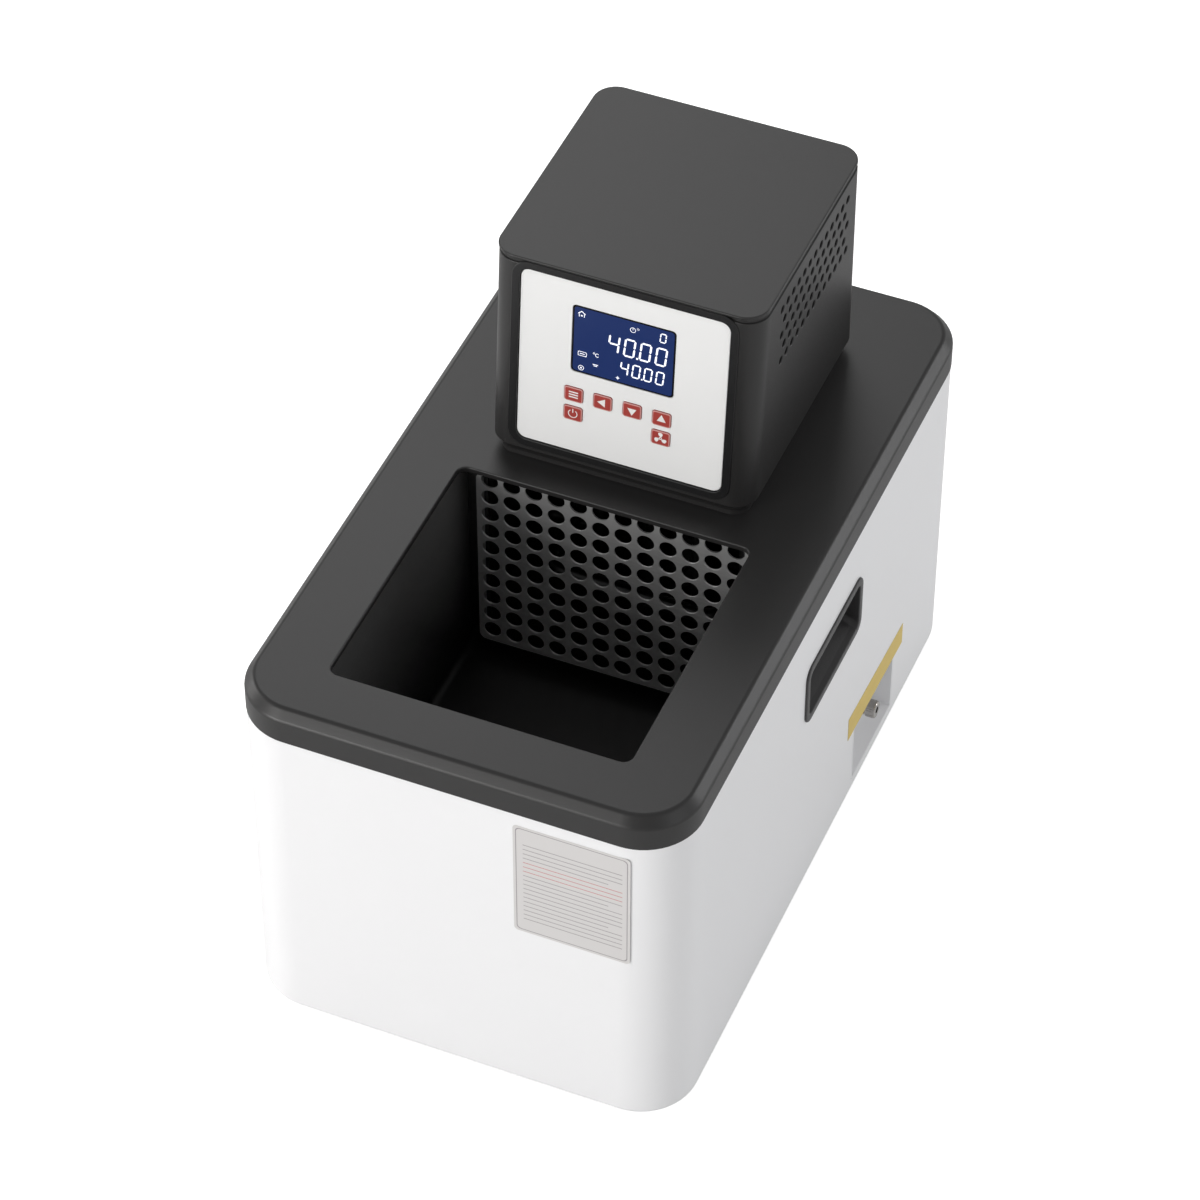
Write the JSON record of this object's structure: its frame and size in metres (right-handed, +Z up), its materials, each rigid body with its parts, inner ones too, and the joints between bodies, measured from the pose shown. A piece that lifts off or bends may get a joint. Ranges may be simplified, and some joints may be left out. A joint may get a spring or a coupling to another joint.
{
  "type": "circulating oil bath",
  "caption": "Benchtop heated circulating bath: square open bath in a tall box body, control head with display and keys at the back, drain cock in a side recess.",
  "frame": {"origin": "on the table under the middle of the body and rim", "axes": "+Z up, +Y from the bath mouth to the control head and the long way, +X to the side with the drain"},
  "size_m": [0.2318, 0.392, 0.339],
  "materials": {
    "painted_wrapper": "white baked paint, satin",
    "dark_powder_coat": "dark grey powder coat, fine grain",
    "stainless": "brushed stainless sheet",
    "galvanised_sheet": "galvanised sheet",
    "black_plastic": "moulded black plastic",
    "panel_sheet": "white film on sheet",
    "display_glass": "clear window over a blue display",
    "key_red": "brick red keys",
    "foot_rubber": "black rubber",
    "plated_steel": "zinc plated",
    "plated_brass": "nickel plated",
    "brass": "bare brass",
    "mineral_wool": "mineral wool slab",
    "motor_enamel": "laminated steel and enamel",
    "circuit_board": "green board",
    "heat_sink_metal": "extruded aluminium"
  },
  "bodies": {
    "housing": {"base_plate": "galvanised_sheet", "bath_tank": "stainless", "body_shell": "painted_wrapper", "control_board": "circuit_board", "control_panel": "panel_sheet", "deck_cover": "dark_powder_coat", "display_board": "circuit_board", "drain_cock": "plated_brass", "drain_pipe": "stainless", "drain_recess": "stainless", "foot_nuts": "plated_steel", "foot_screws": "plated_steel", "guard_plate": "stainless", "guard_rail_left": "stainless", "guard_rail_right": "stainless", "handle_cup_left": "black_plastic", "handle_cup_right": "black_plastic", "head_base": "galvanised_sheet", "head_lid": "dark_powder_coat", "head_neck": "dark_powder_coat", "head_shell": "dark_powder_coat", "heat_sink": "heat_sink_metal", "heater_coil": "stainless", "heater_glands": "brass", "inlet_screws": "plated_steel", "lcd_module": "black_plastic", "lcd_window": "display_glass", "mains_transformer": "motor_enamel", "outlet_nipple": "stainless", "outlet_pipe": "stainless", "panel_bezel": "black_plastic", "power_inlet": "black_plastic", "pump_column": "stainless", "pump_housing": "stainless", "pump_motor": "motor_enamel", "return_nipple": "stainless", "return_pipe": "stainless", "rubber_feet": "foot_rubber", "shaft_bush": "brass", "solid_state_relay": "black_plastic", "switch_housing": "black_plastic", "tank_insulation": "mineral_wool", "temperature_probe": "stainless"},
    "pump_rotor": {"pump_shaft": "stainless", "pump_impeller": "stainless", "cooling_fan": "black_plastic"},
    "drain_ring": {"drain_sleeve": "plated_brass"},
    "mains_rocker": {"switch_rocker": "black_plastic"},
    "key_set": {"key_set": "key_red"},
    "key_left": {"key_left": "key_red"},
    "key_down": {"key_down": "key_red"},
    "key_up": {"key_up": "key_red"},
    "key_power": {"key_power": "key_red"},
    "key_circulate": {"key_circulate": "key_red"}
  },
  "joints": [
    {"name": "pump_spin", "type": "hinge", "parent": "housing", "child": "pump_rotor", "pos_m": [0, 0.058, 0.25], "axis": [0, 0, 1], "continuous": true},
    {"name": "drain_turn", "type": "hinge", "parent": "housing", "child": "drain_ring", "pos_m": [0.1132, 0.079, 0.038], "axis": [1, 0, 0], "range_deg": [0, 270]},
    {"name": "mains_rock", "type": "hinge", "parent": "housing", "child": "mains_rocker", "pos_m": [0.03, 0.1514, 0.305], "axis": [-1, 0, 0], "range_deg": [0, 16]},
    {"name": "set_press", "type": "slide", "parent": "housing", "child": "key_set", "axis": [0, 0.9963, -0.0854], "range_m": [0, 0.0006], "stiffness_N_per_m": 1500},
    {"name": "left_press", "type": "slide", "parent": "housing", "child": "key_left", "axis": [0, 0.9963, -0.0854], "range_m": [0, 0.0006], "stiffness_N_per_m": 1500},
    {"name": "down_press", "type": "slide", "parent": "housing", "child": "key_down", "axis": [0, 0.9963, -0.0854], "range_m": [0, 0.0006], "stiffness_N_per_m": 1500},
    {"name": "up_press", "type": "slide", "parent": "housing", "child": "key_up", "axis": [0, 0.9963, -0.0854], "range_m": [0, 0.0006], "stiffness_N_per_m": 1500},
    {"name": "power_press", "type": "slide", "parent": "housing", "child": "key_power", "axis": [0, 0.9963, -0.0854], "range_m": [0, 0.0006], "stiffness_N_per_m": 1500},
    {"name": "circulate_press", "type": "slide", "parent": "housing", "child": "key_circulate", "axis": [0, 0.9963, -0.0854], "range_m": [0, 0.0006], "stiffness_N_per_m": 1500}
  ]
}
